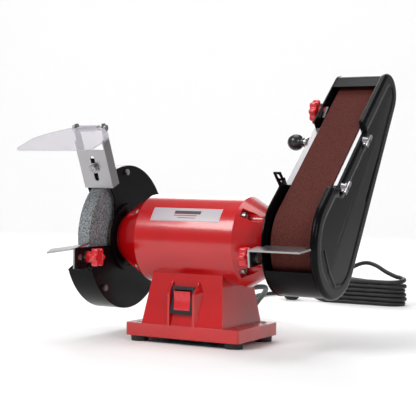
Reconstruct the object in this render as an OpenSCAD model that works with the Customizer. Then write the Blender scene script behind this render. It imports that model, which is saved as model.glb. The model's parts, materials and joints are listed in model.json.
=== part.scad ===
// Combined bench grinder and belt sander.
// X runs along the motor shaft with the grinding wheel at the -X end and the belt arm at the +X end,
// -Y is the side where the operator stands, and Z = 0 is the bench that the rubber feet stand on.

/* [Base] */
// Width of the base plate, along the shaft
base_w = 148; // [140:1:170]
// Depth of the base plate, front to back
base_d = 103; // [98:1:120]
// Thickness of the base plate
plate_h = 15; // [12:1:18]
// Height of the rubber feet
foot_h = 7; // [5:0.5:10]
// Diameter of the rubber feet
foot_d = 22; // [18:1:24]
// Distance of the feet and bench bolts from the middle, along the shaft
foot_x = 62; // [58:1:66]
// Distance of the feet and bench bolts from the middle, front to back
foot_y = 38; // [32:1:42]
// Diameter of the bench bolt holes
bench_hole_d = 7; // [6:0.5:8]
// Width of the pedestal where it leaves the base plate
pedestal_w = 106; // [100:1:110]
// Depth of the pedestal where it leaves the base plate
pedestal_d = 99; // [94:1:102]
// Width of the pedestal under the motor
pedestal_top_w = 90; // [84:1:94]
// Depth of the pedestal under the motor
pedestal_top_d = 71; // [66:1:76]

/* [Motor] */
// Height of the shaft above the bench
axis_h = 119; // [114:1:126]
// Outer radius of the motor barrel
barrel_r = 52.3; // [50:0.1:54]
// Length of the motor barrel
barrel_len = 96; // [90:1:100]
// Distance from the middle to the end of each end bell
bell_end = 96; // [94:1:98]
// Radius of the bolt circle of the motor
bolt_circle_r = 43; // [42:0.5:44]

/* [Grinding wheel and guard] */
// Diameter of the grinding wheel
wheel_d = 150; // [140:1:152]
// Thickness of the grinding wheel
wheel_t = 16; // [13:1:18]
// Outer radius of the wheel guard
guard_r = 87; // [84:0.5:90]
// Thickness of the guard's sheet steel
sheet_t = 1.5; // [1.2:0.1:1.8]

/* [Belt arm] */
// Width of the sanding belt
belt_w = 50; // [46:1:50]
// Length of the sanding belt, all round
belt_loop = 686; // [680:1:692]
// Radius of the drive pulley
drive_r = 48.2; // [46:0.1:49]
// Radius of the idler pulley
idler_r = 16.5; // [15:0.1:18]
// Lean of the arm back from upright, 0 is upright and 90 is level
arm_tilt = 42; // [0:1:90]
// Radius of the housing round the drive pulley
housing_r = 60; // [58:0.5:62]
// Radius of the housing round the idler pulley
housing_tip_r = 25.5; // [24:0.5:27]
// Distance between the two ends' centres of the housing
housing_len = 240; // [236:1:244]

/* [Rests and shield] */
// Width of the clear eye shield
shield_w = 104; // [90:1:110]
// Length of the clear eye shield
shield_l = 80; // [70:1:110]
// Slope of the eye shield, down towards the front
shield_slope = 22; // [5:1:30]
// Diameter of the star knobs
knob_d = 23; // [20:1:25]

/* [Mains lead] */
// Diameter of the mains lead
lead_d = 6.6; // [6:0.1:7]

/* [Hidden] */
$fn = 64;
eps = 0.01;

// Colours
red_paint = [0.82, 0.08, 0.09];
black_steel = [0.13, 0.13, 0.15];
bright_steel = [0.78, 0.78, 0.8];
knob_red = [0.86, 0.1, 0.12];
rubber_black = [0.08, 0.08, 0.09];

// Base
plate_top = foot_h + plate_h;
pedestal_top = axis_h - 33;
cast_wall = 5;
pedestal_lean = atan((pedestal_d - pedestal_top_d) / 2 / (pedestal_top - plate_top));
switch_z = plate_top + 28.5;
switch_w = 29;
switch_h = 32;
rocker_pin_r = 1.2;
fin_x = 15;
lead_x = 20;
screw_x = 40;
screw_y = 30;
lead_z = 57;
saddle_gap = 0.1;

// Motor, distances along the shaft from the middle
barrel_wall = 2.5;
seam_x = barrel_len / 2;
cone_x = 63.5;
bell_wall = 4;
bell_end_r = 33;
spigot_r = 22;
spigot_x = 109;
hub_screw_r = 1.6;
bearing_x = 88;
bearing_w = 11;
bearing_r = 17.5;
shaft_r = 7.5;
arbor_r = 6.35;
shaft_bore_r = 8.5;
stator_r = barrel_r - barrel_wall;
stator_half = 30;
air_gap_r = 30;
rotor_r = 29.5;
bolt_r = 2.5;
bolt_floor_x = 67;
stator_slots = 12;

// Grinding wheel, X of each face
wheel_in_x = -111;
wheel_out_x = wheel_in_x - wheel_t;
flange_t = 3;
blotter_t = 0.6;
guard_in_x = -104;
guard_out_x = -136;
guard_wall_r = guard_r - sheet_t;
guard_from = -25;
guard_to = 55.5;
guard_chord_y = -31;
left_flange_x = guard_in_x - sheet_t - 0.1;

// Left rest, and the ear of the guard that carries it
ear_bottom = 86;
ear_top = 110;
ear_front_y = -110;
rest_axis_y = -89;
strap_slot = [-104, -84];
rest_axis_z = 98.8;
rest_t = 2;
rest_gap = 0.1;

// Belt path
belt_gap = 0.3;
belt_t = 0.9;
belt_x = 111;
belt_in_r = drive_r + belt_gap;
belt_tip_r = idler_r + belt_gap;
function wrap(c) = asin((belt_in_r - belt_tip_r) / c);
function loop_length(c) = 2 * c * cos(wrap(c)) + (180 + 2 * wrap(c)) * PI / 180 * belt_in_r
    + (180 - 2 * wrap(c)) * PI / 180 * belt_tip_r;
function centres(steps, c) = steps == 0 ? c : centres(steps - 1, c + (belt_loop - loop_length(c)) / 2);
arm_len = centres(20, 230);
strand_lean = wrap(arm_len);

// Belt arm, X of its sheets
plate_x = 104.3;
cover_x = 168.6;
cover_wall_x = 163;
cover_t = 1.6;
hub_x = 98;
hub_r = 31;
arm_bore_r = spigot_r + 0.08;
platen_low = 47;
platen_high = 152;
platen_face = belt_in_r - 0.6;
platen_t = 2;
platen_in_x = 102.8;
platen_out_x = 166;
platen_flange_y = -39;
stud_flange_y = -37;
stud_back = 41;
stud_low = 51.3;
stud_high = 135.5;
stud_hole_r = 2.8;
stud_slot_drop = 9;
cover_cut_y = -45;
cover_cut_top = 150;
cover_cut_foot = [-80, 5.4];
lip_z = 229;
wrap_y = -34.2;
wrap_z = -94;

// Idler and its tensioner, places along the arm and across it
slide_x = 106.6;
slide_t = 3;
axle_r = 4;
idler_bearing_r = 11;
lever_pivot = [-6, 168];
ball_place = [-31, 130];
lever_x = 99.5;
lever_t = 3;
ball_x = 88.5;
ball_r = 10;
neck_r = 5.5;
tracking_place = [-22, 190];
tracking_r = 15;

// Belt rest, turned a little about its bolt
belt_rest_y = -70;
belt_rest_z = axis_h - 12.4;
belt_rest_turn = 7;

// Eye shield bracket: its own upright frame starts at the web's lower edge
bracket_y = -48;
bracket_z = 178.4;
bracket_lean = 24.3;
bracket_in_x = -96;
bracket_out_x = -135.5;
bracket_mid_x = (bracket_in_x + bracket_out_x) / 2;
web_h = 48.5;
arm_depth = 14;
rod_back = 9.2;
rod_up = 72.6;
rod_r = 2;
bracket_screw_z = 26;
outer_flange_z = 15;

// Mains lead: route points, chosen by hand, from the strain relief to the top of the hank
lead_r = lead_d / 2;
hank_mid = [2.5, 522];
hank_run = 93;
hank_r = 20;
hank_turns = 6;
hank_h = hank_turns * lead_d;
lead_route = [
    [20, 82, 57], [20, 98, 57], [20, 114, 56.5], [18, 130, 55], [13, 146, 52], [5, 162, 47],
    [-6, 178, 40], [-20, 195, 31], [-34, 213, 22], [-48, 233, 14], [-62, 255, 8], [-75, 279, 5],
    [-88, 305, 4], [-101, 333, 4], [-115, 363, 4], [-129, 394, 4], [-143, 426, 4], [-156, 458, 4],
    [-166, 490, 4], [-168, 521, 4], [-160, 549, 4], [-143, 571, 4], [-118, 583, 5], [-92, 585, 13],
    [-68, 580, 28], [-46, 572, 44], [-25, 563, 56], [-5, 556, 61.5], [14, 550, 58], [32, 545, 49.5],
    [49, 542, 43.2]
];
tail_route = [
    [-62, 502, 4.8], [-70, 502, 8], [-79, 502, 11.8], [-88, 502, 14.1]
];
plug_at = [-88, 502, 14.1];
plug_r = 14;

// A cylinder along X
module rod_x(r, x0, x1) translate([x0, 0, 0]) rotate([0, 90, 0]) cylinder(r = r, h = x1 - x0);
// A flat outline drawn in Y and Z, given thickness along X
module along_x(x0, x1) translate([x0, 0, 0]) rotate([90, 0, 90]) linear_extrude(x1 - x0) children();
// A profile of radius and X, turned about the X axis
module turned_x() rotate([0, 90, 0]) rotate_extrude() children();
// A box from its two corners
module span(a, b) translate(a) cube(b - a);
module on_axis() translate([0, 0, axis_h]) children();
// The belt arm's own frame: Z runs up the arm and -Y is its working face
module arm() on_axis() rotate([-arm_tilt, 0, 0]) children();
// The same, leaned so that the working strand of the belt is upright
module strand() arm() rotate([-strand_lean, 0, 0]) children();
module bracket_frame() translate([0, bracket_y, bracket_z]) rotate([bracket_lean, 0, 0]) children();
module rounded_rect(w, d, r) {
    square([w - 2 * r, d], center = true);
    square([w, d - 2 * r], center = true);
    for (x = [-1, 1], y = [-1, 1]) translate([x * (w / 2 - r), y * (d / 2 - r)]) circle(r);
}
// A tube of a given radius swept along a list of points; rings stay square to the route
function unit(v) = v / norm(v);
function heading(p, i) = unit(p[min(i + 1, len(p) - 1)] - p[max(i - 1, 0)]);
function side_of(d) = unit(cross(d, abs(d.z) > 0.9 ? [1, 0, 0] : [0, 0, 1]));
module swept_tube(p, r, sides) {
    rings = len(p);
    points = [for (i = [0:rings - 1]) let (d = heading(p, i), s = side_of(d), t = cross(d, s))
        for (k = [0:sides - 1]) p[i] + r * (cos(360 * k / sides) * s + sin(360 * k / sides) * t)];
    faces = concat(
        [[for (k = [0:sides - 1]) k]],
        [for (i = [0:rings - 2], k = [0:sides - 1], half = [0, 1]) let (a = i * sides, m = (k + 1) % sides)
            half == 0 ? [a + k, a + sides + k, a + sides + m] : [a + k, a + sides + m, a + m]],
        [[for (k = [sides - 1:-1:0]) (rings - 1) * sides + k]]
    );
    polyhedron(points, faces);
}
// A capsule outline that tapers from radius r1 at the origin to radius r2 at distance c
module tapered_outline(r1, r2, c) {
    a = asin((r1 - r2) / c);
    circle(r1, $fn = 128);
    translate([0, c]) circle(r2, $fn = 96);
    polygon([
        [r1 * cos(a), r1 * sin(a)], [r2 * cos(a), c + r2 * sin(a)],
        [-r2 * cos(a), c + r2 * sin(a)], [-r1 * cos(a), r1 * sin(a)]
    ]);
}
module housing_outline(inset) tapered_outline(housing_r - inset, housing_tip_r - inset, housing_len);

// ---- Base ----
module frustum(w0, d0, w1, d1, z0, z1) intersection() {
    translate([0, d0 / 2, 0]) rotate([90, 0, 0]) linear_extrude(d0)
        polygon([[-w0 / 2, z0], [w0 / 2, z0], [w1 / 2, z1], [-w1 / 2, z1]]);
    along_x(-w0 / 2, w0 / 2) polygon([[-d0 / 2, z0], [d0 / 2, z0], [d1 / 2, z1], [-d1 / 2, z1]]);
}
// A cast fin beside the switch, drawn for the +X side
module fin() hull() {
    span([fin_x, -base_d / 2, foot_h + 1], [fin_x + 2.5, -base_d / 2 + 1, foot_h + 52]);
    span([fin_x, -pedestal_d / 2, plate_top - 1], [fin_x + 4, -pedestal_d / 2 + 2, plate_top]);
    span([fin_x, -41, foot_h + 49], [fin_x + 8.5, -39, foot_h + 54]);
    span([fin_x + 1.5, -40, foot_h + 62], [fin_x + 3, -37, foot_h + 65]);
}
module base_hollow() difference() {
    union() {
        frustum(pedestal_w - 2 * cast_wall, pedestal_d - 2 * cast_wall, pedestal_top_w - 2 * cast_wall,
            pedestal_top_d - 2 * cast_wall, plate_top - eps, pedestal_top + 2);
        span([-pedestal_w / 2 + cast_wall, -pedestal_d / 2 + cast_wall, foot_h - 1],
            [pedestal_w / 2 - cast_wall, pedestal_d / 2 - cast_wall, plate_top]);
    }
    for (x = [0, 1], y = [0, 1]) mirror([x, 0, 0]) mirror([0, y, 0])
        span([screw_x - 5, screw_y - 5, foot_h - 2], [pedestal_w / 2, screw_y + 5, foot_h + 13]);
}
module base_casting() color(red_paint) difference() {
    union() {
        translate([0, 0, foot_h]) linear_extrude(plate_h) rounded_rect(base_w, base_d, 3);
        frustum(pedestal_w, pedestal_d, pedestal_top_w, pedestal_top_d, plate_top - eps, pedestal_top);
        fin();
        mirror([1, 0, 0]) fin();
    }
    base_hollow();
    on_axis() rod_x(barrel_r + saddle_gap, -80, 80);
    for (x = [-1, 1], y = [-1, 1]) translate([x * foot_x, y * foot_y, foot_h - 1])
        cylinder(d = bench_hole_d, h = plate_h + 2);
    for (x = [-1, 1], y = [-1, 1]) translate([x * screw_x, y * screw_y, foot_h - 1]) cylinder(r = 2, h = 12);
    span([-switch_w / 2 + 2, -60, switch_z - switch_h / 2 + 2],
        [switch_w / 2 - 2, -30, switch_z + switch_h / 2 - 2]);
    translate([lead_x, 60, lead_z]) rotate([90, 0, 0]) cylinder(r = 7, h = 30);
}
module bottom_cover() color(black_steel) translate([0, 0, foot_h - sheet_t]) difference() {
    linear_extrude(sheet_t) rounded_rect(base_w - 50, base_d - 4, 3);
    for (x = [-1, 1], y = [-1, 1]) translate([x * screw_x, y * screw_y, -1]) cylinder(r = 2.2, h = 4);
}
module bottom_screws() color(bright_steel) for (x = [-1, 1], y = [-1, 1])
    translate([x * screw_x, y * screw_y, foot_h - sheet_t]) {
        translate([0, 0, -2.2]) cylinder(r = 3.6, h = 2.2);
        translate([0, 0, -eps]) cylinder(r = 2, h = 12);
    }
module rubber_feet() color(rubber_black) for (x = [-1, 1], y = [-1, 1])
    translate([x * foot_x, y * foot_y, 0]) difference() {
        cylinder(d1 = foot_d - 1.5, d2 = foot_d, h = foot_h);
        translate([0, 0, -1]) cylinder(d = bench_hole_d, h = foot_h + 2);
    }
// Frame of the switch: Z up the pedestal's face, -Y out of it
module switch_place() {
    face_y = -pedestal_d / 2 + (switch_z - plate_top) * tan(pedestal_lean);
    translate([0, face_y, switch_z]) rotate([-pedestal_lean, 0, 0]) children();
}
module switch_frame() color(black_steel) switch_place() difference() {
    union() {
        span([-switch_w / 2, -5, -switch_h / 2], [switch_w / 2, -eps, switch_h / 2]);
        span([-switch_w / 2 + 2.5, -eps, -switch_h / 2 + 3], [switch_w / 2 - 2.5, 22, switch_h / 2 - 3]);
    }
    span([-11, -6, -12], [11, 12, 12]);
    translate([0, -1, 0]) rod_x(rocker_pin_r + 0.06, -12.5, 12.5);
}
module switch_rocker() color(knob_red) switch_place() translate([0, -1, 0]) rotate([10, 0, 0]) {
    along_x(-10.6, 10.6) difference() {
        polygon([[-5.2, 11], [5, 9], [5, -9], [-5.2, -11]]);
        translate([-46, 0]) circle(41.8, $fn = 128);
    }
    rod_x(rocker_pin_r, -12.2, 12.2);
}
module capacitor() color([0.75, 0.76, 0.78]) translate([-30, 6, foot_h + 13])
    rotate([0, 90, 0]) cylinder(r = 13, h = 46);
module strain_relief() color(rubber_black) translate([lead_x, 0, lead_z]) rotate([-90, 0, 0]) difference() {
    union() {
        translate([0, 0, 36]) cylinder(r = 6.7, h = 8.3);
        translate([0, 0, 44.2]) cylinder(r = 9, h = 3);
        translate([0, 0, 47.1]) cylinder(r1 = 6.6, r2 = 4.6, h = 34.9);
    }
    translate([0, 0, 30]) cylinder(r = lead_r, h = 51);
}

// ---- Motor ----
module motor_barrel() color(red_paint) on_axis() difference() {
    rod_x(barrel_r, -seam_x, seam_x);
    rod_x(stator_r, -seam_x - 1, seam_x + 1);
}
module bolt_places() for (a = [45:90:315]) rotate([a, 0, 0]) translate([0, 0, bolt_circle_r]) children();
module bell_solid() turned_x() polygon([
    [0, seam_x], [barrel_r, seam_x], [barrel_r, cone_x], [36, 91], [bell_end_r, bell_end], [0, bell_end]
]);
// An end bell, drawn for the +X side, with a nose of the given radius and end
module end_bell(nose_r, nose_x) color(red_paint) difference() {
    union() {
        difference() {
            bell_solid();
            turned_x() polygon([
                [0, seam_x - 1], [barrel_r - bell_wall, seam_x - 1], [barrel_r - bell_wall, cone_x - 2],
                [31.5, 90], [spigot_r, 90], [spigot_r, bearing_x - 2], [0, bearing_x - 2]
            ]);
        }
        rod_x(nose_r, bell_end - eps, nose_x);
        intersection() {
            bell_solid();
            bolt_places() rod_x(8, seam_x, 90);
        }
    }
    rod_x(bearing_r, bearing_x - 3, bearing_x + bearing_w);
    rod_x(shaft_bore_r, bearing_x, nose_x + 1);
    bolt_places() rod_x(6.2, bolt_floor_x, 120);
    bolt_places() translate([0, 0, 5]) rod_x(6.2, bolt_floor_x, 120);
    bolt_places() rod_x(bolt_r + 0.3, 40, bolt_floor_x + 1);
}
module right_end_bell() on_axis() end_bell(spigot_r, spigot_x);
module hub_screw_places() for (a = [30, 150, 270]) rotate([a, 0, 0]) translate([0, 0, 22]) children();
module left_end_bell() color(red_paint) on_axis() difference() {
    mirror([1, 0, 0]) end_bell(26, -guard_in_x);
    hub_screw_places() rod_x(hub_screw_r, -110, -95);
}
module through_bolts() color(bright_steel) on_axis() bolt_places() {
    rod_x(bolt_r, -bolt_floor_x + eps, bolt_floor_x + eps);
    rod_x(4.6, bolt_floor_x, bolt_floor_x + 4);
    rod_x(4.6, -bolt_floor_x - 4, -bolt_floor_x);
}
module stator_core() color([0.45, 0.45, 0.47]) on_axis() difference() {
    along_x(-stator_half, stator_half) difference() {
        circle(stator_r, $fn = 128);
        circle(air_gap_r, $fn = 96);
        for (i = [0:stator_slots - 1]) rotate(i * 360 / stator_slots + 15) translate([air_gap_r - 1, -2.5])
            square([8.5, 5]);
    }
    bolt_places() rod_x(bolt_r + 0.2, -stator_half - 1, stator_half + 1);
}
module stator_windings() color([0.72, 0.4, 0.2]) on_axis() {
    for (s = [0, 1]) mirror([s, 0, 0]) turned_x() translate([34.8, stator_half + 4.2]) circle(4.2);
    for (i = [0:stator_slots - 1]) along_x(-stator_half - 4, stator_half + 4)
        rotate(i * 360 / stator_slots + 15) translate([air_gap_r + 0.8, -2.2]) square([6.4, 4.4]);
}
module bearing_ring(r_out, r_in) for (s = [0, 1]) mirror([s, 0, 0]) difference() {
    rod_x(r_out, bearing_x, bearing_x + bearing_w);
    rod_x(r_in, bearing_x - 1, bearing_x + bearing_w + 1);
}
module bearing_outer_rings() color(bright_steel) on_axis() bearing_ring(bearing_r, 14.3);
module bearing_inner_rings() color(bright_steel) on_axis() bearing_ring(11, shaft_r);
module name_plate() color([0.85, 0.82, 0.85]) on_axis() rotate([0, 90, 0]) rotate([0, 0, -116])
    rotate_extrude(angle = -20) translate([barrel_r, -45]) square([0.5, 90]);

// ---- Spindle ----
module motor_shaft() color(bright_steel) on_axis() {
    rod_x(shaft_r, -106, 110);
    rod_x(arbor_r, -134.8, -106 + eps);
    rod_x(arbor_r, 110 - eps, 156);
}
module rotor() color([0.6, 0.6, 0.62]) on_axis() difference() {
    union() {
        rod_x(rotor_r, -stator_half, stator_half);
        rod_x(27, -stator_half - 5, stator_half + 5);
    }
    rod_x(shaft_r, -50, 50);
}
module grinding_wheel() color([0.52, 0.54, 0.55]) on_axis() difference() {
    rod_x(wheel_d / 2, wheel_out_x, wheel_in_x);
    rod_x(arbor_r, wheel_out_x - 1, wheel_in_x + 1);
}
module ring_x(r_out, r_in, x0, x1) difference() {
    rod_x(r_out, x0, x1);
    rod_x(r_in, x0 - 1, x1 + 1);
}
module wheel_blotters() color([0.75, 0.68, 0.5]) on_axis() {
    ring_x(32, arbor_r, wheel_in_x, wheel_in_x + blotter_t);
    ring_x(32, arbor_r, wheel_out_x - blotter_t, wheel_out_x);
}
module wheel_flanges() color(bright_steel) on_axis() {
    ring_x(27, arbor_r, wheel_in_x + blotter_t, wheel_in_x + blotter_t + flange_t);
    ring_x(27, arbor_r, wheel_out_x - blotter_t - flange_t, wheel_out_x - blotter_t);
}
module hex_nut_x(across, r_in, x0, x1) difference() {
    translate([x0, 0, 0]) rotate([0, 90, 0]) cylinder(d = across / cos(30), h = x1 - x0, $fn = 6);
    rod_x(r_in, x0 - 1, x1 + 1);
}
module spindle_nuts() color(bright_steel) on_axis() {
    hex_nut_x(19, arbor_r, -134.5, wheel_out_x - blotter_t - flange_t);
    hex_nut_x(19, arbor_r, 146, 153);
}
module drive_pulley() color([0.7, 0.7, 0.72]) on_axis() difference() {
    turned_x() polygon([
        [0, 112], [14, 112], [14, 128], [42, 128], [42, belt_x], [drive_r - 0.4, belt_x],
        [drive_r, belt_x + belt_w / 2], [drive_r - 0.4, belt_x + belt_w], [42, belt_x + belt_w],
        [42, 138], [14, 138], [14, 146], [0, 146]
    ]);
    rod_x(arbor_r, 100, 150);
    for (a = [0:60:300]) rotate([a, 0, 0]) translate([0, 0, 28]) rod_x(6.5, 120, 145);
}

// ---- Wheel guard ----
// The angles of the guard's rim run from its lower front end round the back to its upper front end;
// 0 points at the operator and 90 points up
module pie(r, from, to) polygon(concat(
    [[0, 0]], [for (a = [from:(to - from) / 12:to + eps]) [-r * cos(a), r * sin(a)]]
));
module guard_outline(r) difference() {
    circle(r, $fn = 128);
    intersection() {
        pie(130, guard_from, guard_to);
        translate([-100, -100]) square([100 + guard_chord_y, 200]);
    }
}
guard_bolt_angles = [84, 200, 312];
module guard_bolt_places() for (a = guard_bolt_angles) rotate([-a, 0, 0]) translate([0, -79, 0]) children();
module inner_guard() color(black_steel) {
    on_axis() difference() {
        along_x(guard_in_x - sheet_t, guard_in_x) union() {
            guard_outline(guard_r);
            translate([ear_front_y, ear_bottom - axis_h]) square([-28 - ear_front_y, ear_top - ear_bottom]);
        }
        rod_x(shaft_r + 3, -120, -90);
        guard_bolt_places() rod_x(2.2, -120, -90);
        hub_screw_places() rod_x(hub_screw_r, -120, -90);
        translate([0, 0, rest_axis_z - axis_h]) {
            for (y = strap_slot) translate([0, y, 0]) rod_x(3.2, -120, -90);
            span([-120, strap_slot[0], -3.2], [-90, strap_slot[1], 3.2]);
        }
    }
    on_axis() ring_x(41, 34.5, guard_in_x - eps, guard_in_x + 3);
    on_axis() along_x(guard_out_x, guard_in_x - eps) difference() {
        circle(guard_r - 0.05, $fn = 128);
        circle(guard_wall_r, $fn = 128);
        pie(130, guard_from, guard_to);
    }
    bracket_frame() difference() {
        span([-131, 3.2, 6], [-109, 3.2 + sheet_t, 36]);
        translate([bracket_mid_x, 0, bracket_screw_z]) rotate([-90, 0, 0]) cylinder(r = 2.8, h = 10);
    }
}
module outer_guard() color(black_steel) on_axis() difference() {
    along_x(guard_out_x - sheet_t, guard_out_x) guard_outline(guard_r);
    guard_bolt_places() rod_x(2.2, -150, -130);
}
module guard_bolts() color(bright_steel) on_axis() {
    guard_bolt_places() {
        rod_x(2, guard_out_x - sheet_t - eps, guard_in_x + 4);
        rod_x(4, guard_out_x - sheet_t - 2.5, guard_out_x - sheet_t);
        hex_nut_x(7, 2 - eps, guard_in_x, guard_in_x + 3.2);
    }
    hub_screw_places() {
        rod_x(hub_screw_r, guard_in_x - sheet_t - eps, -95);
        rod_x(3, guard_in_x - sheet_t - 1.1, guard_in_x - sheet_t);
    }
}
module spark_arrester() color(black_steel) bracket_frame() difference() {
    span([-133, 1.4, 0.5], [-107, 2.9, 34]);
    for (z = [bracket_screw_z - 9, bracket_screw_z]) translate([bracket_mid_x, 0, z]) rotate([-90, 0, 0])
        cylinder(r = 2.9, h = 10);
    span([bracket_mid_x - 2.9, 0, bracket_screw_z - 9], [bracket_mid_x + 2.9, 10, bracket_screw_z]);
}
module shield_bracket() color([0.86, 0.85, 0.84]) bracket_frame() difference() {
    union() {
        span([bracket_out_x, -0.4, 0], [bracket_in_x, 1.1, web_h]);
        span([bracket_out_x, 0, outer_flange_z], [bracket_out_x + 1.5, arm_depth, 60]);
        span([bracket_in_x - 1.5, 0, 0], [bracket_in_x, arm_depth, 60]);
        for (x = [bracket_out_x, bracket_in_x - 1.5]) {
            span([x, 3.7, 59], [x + 1.5, arm_depth, rod_up]);
            translate([0, rod_back, rod_up]) rod_x(5.5, x, x + 1.5);
        }
    }
    translate([0, rod_back, rod_up]) rod_x(rod_r, bracket_out_x - 1, bracket_in_x + 1);
    for (z = [12, 38]) translate([bracket_mid_x, -2, z]) rotate([-90, 0, 0]) cylinder(r = 2.9, h = 5);
    span([bracket_mid_x - 2.9, -2, 12], [bracket_mid_x + 2.9, 3, 38]);
}
module bracket_screw() color(bright_steel) bracket_frame() translate([bracket_mid_x, 0, bracket_screw_z])
    rotate([-90, 0, 0]) {
        translate([0, 0, -4.6]) cylinder(r = 4.6, h = 2.8);
        translate([0, 0, -1.8]) cylinder(r = 6.5, h = 1.2);
        translate([0, 0, -0.7]) cylinder(r = 2.5, h = 9);
        translate([0, 0, 5]) cylinder(d = 9.2, h = 4, $fn = 6);
    }
module shield_rod() color(bright_steel) bracket_frame() translate([0, rod_back, rod_up]) {
    rod_x(rod_r, bracket_out_x - 2, bracket_in_x + 2);
    rod_x(3.6, bracket_out_x - 3.5, bracket_out_x - 0.1);
    rod_x(3.6, bracket_in_x + 0.1, bracket_in_x + 3.5);
}
// The shield's plan, with rear corners that curve in to the bracket's width and rounded front corners
shield_neck = 23;
shield_taper = 40;
corner_r = 7;
function shield_half(d) = shield_neck + (shield_w / 2 - shield_neck) * sin(90 * d / shield_taper);
shield_edge = concat(
    [for (d = [0:5:shield_taper]) [shield_half(d), -8 - d]],
    [for (a = [0:15:90]) [shield_w / 2 - corner_r * (1 - cos(a)), corner_r * (1 - sin(a)) - shield_l]]
);
module shield_plan() polygon(concat(
    shield_edge, [for (i = [len(shield_edge) - 1:-1:0]) [-shield_edge[i][0], shield_edge[i][1]]]
));
module eye_shield() color([0.84, 0.82, 0.88, 0.5]) bracket_frame()
    translate([bracket_mid_x, rod_back, rod_up]) rotate([shield_slope - bracket_lean, 0, 0]) difference() {
        union() {
            translate([0, 0, 1]) linear_extrude(2) shield_plan();
            span([-13, -12, -0.5], [13, 0, 3]);
            rod_x(3.6, -13, 13);
        }
        rod_x(rod_r + 0.08, -20, 20);
    }

// ---- Left rest ----
module star_2d(d, lobes) {
    circle(d * 0.37);
    for (i = [0:lobes - 1]) rotate(i * 360 / lobes) translate([d * 0.345, 0]) circle(d * 0.155, $fn = 32);
}
// A star knob along X: its hub starts at 0 and its head ends at the given length
module star_knob(d, lobes, head, len) {
    rod_x(d * 0.3, 0, len);
    along_x(len - head, len) star_2d(d, lobes);
}
module left_rest_place() translate([0, rest_axis_y, rest_axis_z]) children();
module left_rest() color(bright_steel) {
    difference() {
        span([left_flange_x - rest_t, -112, ear_bottom], [left_flange_x, -80, ear_top]);
        left_rest_place() rod_x(2.5, -115, -100);
    }
    translate([left_flange_x - rest_t, -112, ear_top - 1]) rotate([11, 0, 0]) rotate([0, -9, 0])
        translate([0, 0, -rest_t]) linear_extrude(rest_t)
        polygon([[0, 1], [-9, 2], [-40, 2], [-50, 24], [-18, 24], [0, 32], [1, 32], [1, 1]]);
}
module left_rest_bolt() color(bright_steel) left_rest_place() {
    rod_x(2.5, left_flange_x - rest_t - 1, guard_in_x + 12);
    rod_x(6, left_flange_x - rest_t - 3, left_flange_x - rest_t);
    ring_x(7, 2.5 - eps, guard_in_x + rest_gap, guard_in_x + 1.4);
}
module left_rest_knob() color(knob_red) left_rest_place() translate([guard_in_x + 1.5, 0, 0]) difference() {
    star_knob(knob_d, 6, 9, 17);
    rod_x(2.58, -1, 12);
}

// ---- Belt arm ----
module arm_plate() color(black_steel) {
    difference() {
        union() {
            arm() along_x(plate_x, plate_x + sheet_t) housing_outline(0);
            on_axis() rod_x(hub_r, hub_x, plate_x + eps);
            arm() translate([0, 0, arm_len]) for (z = [-42, -28]) translate([0, 0, z])
                rod_x(2.9, plate_x, slide_x + slide_t);
            arm() span([plate_x, -12, 146], [120, 12, 148]);
            belt_rest_frame() span([plate_x, -12, -8.5], [plate_x + sheet_t, 26, 8.5]);
        }
        on_axis() rod_x(arm_bore_r, hub_x - 1, plate_x + 5);
        strand() span([plate_x - 1, -70, platen_low - 1],
            [plate_x + 2, -platen_face + platen_t + 0.3, platen_high]);
        arm() translate([0, lever_pivot[0], lever_pivot[1]]) rod_x(4, plate_x - 1, plate_x + 3);
        arm() translate([0, tracking_place[0], tracking_place[1]]) rod_x(3.3, plate_x - 1, plate_x + 3);
        belt_rest_frame() rod_x(3.2, plate_x - 1, plate_x + 3);
        on_axis() rotate([-60, 0, 0]) translate([hub_x + 3.2, 0, 20]) cylinder(r = 2.5, h = 20);
    }
}
module arm_cover() color(black_steel) difference() {
    arm() difference() {
        along_x(cover_wall_x, cover_x) housing_outline(0.5);
        along_x(cover_wall_x - 1, cover_x - cover_t) housing_outline(0.5 + cover_t);
    }
    strand() for (z = [stud_low, stud_high]) {
        for (d = [0, stud_slot_drop]) translate([0, -stud_back, z - d]) rod_x(stud_hole_r, 160, 175);
        span([160, -stud_back - stud_hole_r, z - stud_slot_drop], [175, -stud_back + stud_hole_r, z]);
    }
    strand() along_x(cover_wall_x - 1, cover_x + 1) polygon([
        [cover_cut_y, platen_low - 1], cover_cut_foot, [cover_cut_foot.x, cover_cut_top], [cover_cut_y, cover_cut_top]
    ]);
}
module arm_shell() difference() {
    housing_outline(0.6);
    housing_outline(0.6 + sheet_t);
}
module rear_guard() color(black_steel) arm() along_x(plate_x + sheet_t, cover_wall_x) difference() {
    arm_shell();
    polygon([[0, 0], [wrap_y, wrap_z], [-200, -100], [-200, 300], [200, 300], [200, 205], [0, 205]]);
}
module top_hood() color(black_steel) arm() along_x(plate_x + sheet_t, cover_wall_x) difference() {
    arm_shell();
    polygon([[-200, lip_z], [0, lip_z], [0, 205], [200, 205], [200, -100], [-200, -100]]);
}
module platen() color([0.72, 0.72, 0.73]) strand() {
    span([platen_in_x, -platen_face, platen_low], [platen_out_x, -platen_face + platen_t, platen_high]);
    span([platen_in_x, -platen_face, platen_low + 6], [plate_x - 0.2, platen_flange_y, platen_high - 6]);
    span([platen_out_x - 1.6, -platen_face, platen_low], [platen_out_x, stud_flange_y, platen_high]);
    for (z = [stud_low, stud_high]) translate([0, -stud_back, z]) rod_x(2.5, platen_out_x - eps, cover_x + 7);
}
module sanding_belt() color([0.4, 0.2, 0.18]) arm() along_x(belt_x, belt_x + belt_w) difference() {
    tapered_outline(belt_in_r + belt_t, belt_tip_r + belt_t, arm_len);
    tapered_outline(belt_in_r, belt_tip_r, arm_len);
}
module at_tip() arm() translate([0, 0, arm_len]) children();
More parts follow.
